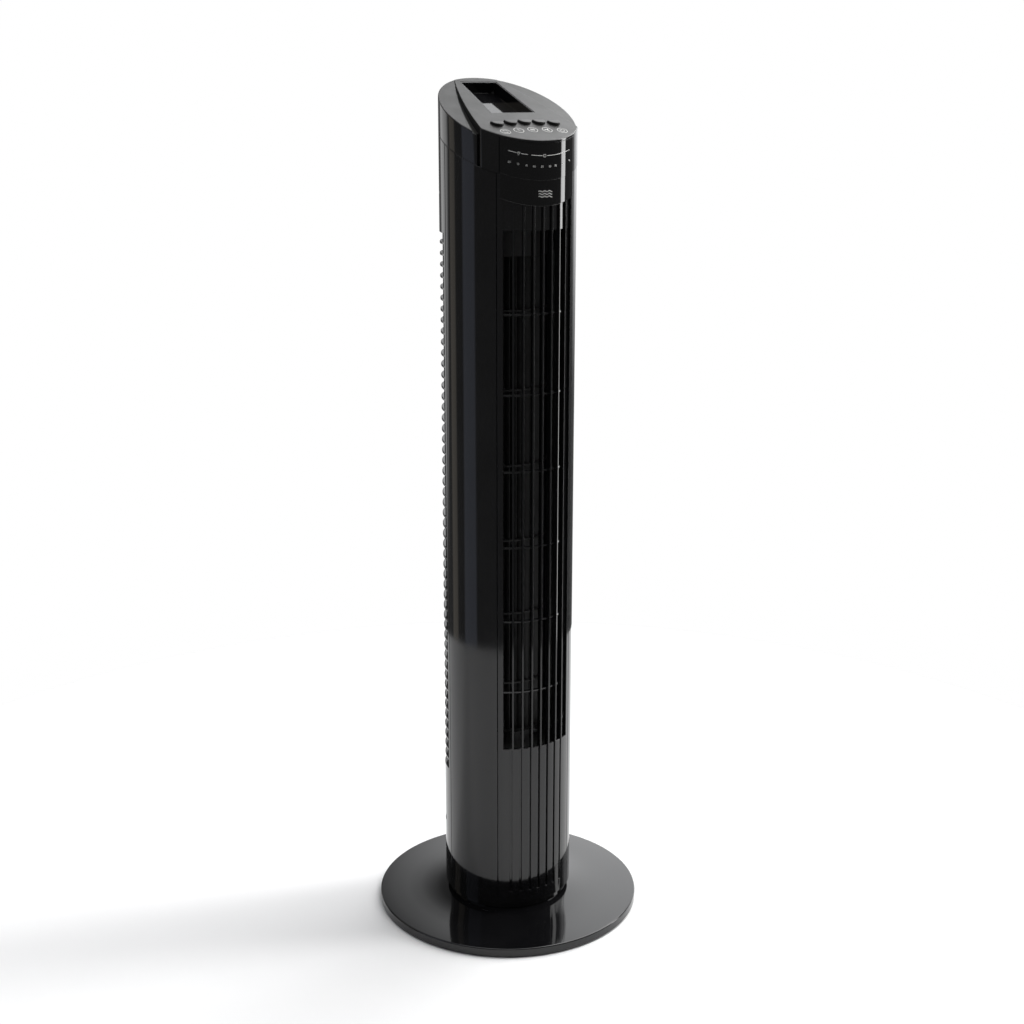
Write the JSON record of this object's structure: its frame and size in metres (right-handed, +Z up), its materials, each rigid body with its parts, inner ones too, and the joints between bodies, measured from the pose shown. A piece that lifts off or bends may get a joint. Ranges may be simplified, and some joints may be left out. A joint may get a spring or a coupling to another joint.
{
  "type": "tower fan",
  "caption": "Upright oscillating tower fan: slim round housing with fluted front grille, sloping control top and flat round base.",
  "frame": {"origin": "centre of the underside of the feet, on the floor and on the swing axis", "axes": "+Z up along the tower, the air outlet and controls face -Y, +X to the right seen from behind"},
  "size_m": [0.294, 0.294, 0.914],
  "materials": {
    "gloss_black": "gloss injection-moulded",
    "satin_black": "satin moulded",
    "console_gloss": "mirror gloss tinted lens",
    "inner_plastic": "plain moulded",
    "white_plastic": "plain moulded",
    "plated_steel": "zinc plated",
    "motor_alloy": "turned",
    "bronze": "sintered",
    "rubber": "matte",
    "board": "solder-masked board"
  },
  "bodies": {
    "base": {"base_cover": "gloss_black", "base_weight": "plated_steel", "base_plate": "inner_plastic", "rubber_feet": "rubber", "base_screws": "plated_steel", "swivel_seat": "gloss_black", "seat_screws": "plated_steel", "slide_ring": "white_plastic", "post_retainer": "plated_steel", "retainer_screws": "plated_steel"},
    "crank": {"crank": "inner_plastic"},
    "drive_link": {"drive_link": "inner_plastic"},
    "fan_wheel": {"impeller": "inner_plastic", "impeller_hub": "rubber", "motor_rotor": "plated_steel"},
    "button_1": {"button_1": "satin_black"},
    "button_2": {"button_2": "satin_black"},
    "button_3": {"button_3": "satin_black"},
    "button_4": {"button_4": "satin_black"},
    "button_5": {"button_5": "satin_black"},
    "tower": {"front_shell": "gloss_black", "rear_shell": "gloss_black", "front_grille": "gloss_black", "console_panel": "console_gloss", "top_cap": "satin_black", "remote_tray": "gloss_black", "tower_floor": "inner_plastic", "bearing_carrier": "inner_plastic", "air_guide": "inner_plastic", "cutoff_tongue": "inner_plastic", "motor_capacitor": "white_plastic", "swing_motor": "plated_steel", "swing_motor_screws": "plated_steel", "housing_screws": "plated_steel", "bracket_screws": "plated_steel", "motor_screws": "plated_steel", "cap_screws": "plated_steel", "board_screws": "plated_steel", "motor_bracket": "inner_plastic", "motor_housing": "plated_steel", "stator_core": "plated_steel", "top_bush": "bronze", "cord_gland": "rubber", "wire_loom": "rubber", "power_board": "board", "display_board": "board", "button_board": "board", "tact_switches": "inner_plastic"}
  },
  "joints": [
    {"name": "swing", "type": "hinge", "parent": "base", "child": "tower", "pos_m": [0, 0, 0.03], "axis": [0, 0, 1], "range_deg": [-35, 35]},
    {"name": "crank_turn", "type": "hinge", "parent": "tower", "child": "crank", "pos_m": [0.036, -0.021, 0.0516], "axis": [0, 0, 1], "range_deg": [-90, 90]},
    {"name": "link_turn", "type": "hinge", "parent": "crank", "child": "drive_link", "pos_m": [0.036, -0.0348, 0.0483], "axis": [0, 0, 1], "range_deg": [-90, 90]},
    {"name": "wheel_spin", "type": "hinge", "parent": "tower", "child": "fan_wheel", "pos_m": [0, 0.004, 0.486], "axis": [0, 0, 1], "continuous": true},
    {"name": "press_1", "type": "slide", "parent": "tower", "child": "button_1", "axis": [0, 0.3872, -0.922], "range_m": [0, 0.0012], "stiffness_N_per_m": 300, "springref_m": -0.001},
    {"name": "press_2", "type": "slide", "parent": "tower", "child": "button_2", "axis": [0, 0.3872, -0.922], "range_m": [0, 0.0012], "stiffness_N_per_m": 300, "springref_m": -0.001},
    {"name": "press_3", "type": "slide", "parent": "tower", "child": "button_3", "axis": [0, 0.3872, -0.922], "range_m": [0, 0.0012], "stiffness_N_per_m": 300, "springref_m": -0.001},
    {"name": "press_4", "type": "slide", "parent": "tower", "child": "button_4", "axis": [0, 0.3872, -0.922], "range_m": [0, 0.0012], "stiffness_N_per_m": 300, "springref_m": -0.001},
    {"name": "press_5", "type": "slide", "parent": "tower", "child": "button_5", "axis": [0, 0.3872, -0.922], "range_m": [0, 0.0012], "stiffness_N_per_m": 300, "springref_m": -0.001}
  ],
  "couplings": [
    {"joint": "crank_turn", "follows": "swing", "ratio": -2.5714},
    {"joint": "link_turn", "follows": "swing", "ratio": 2.5714}
  ]
}
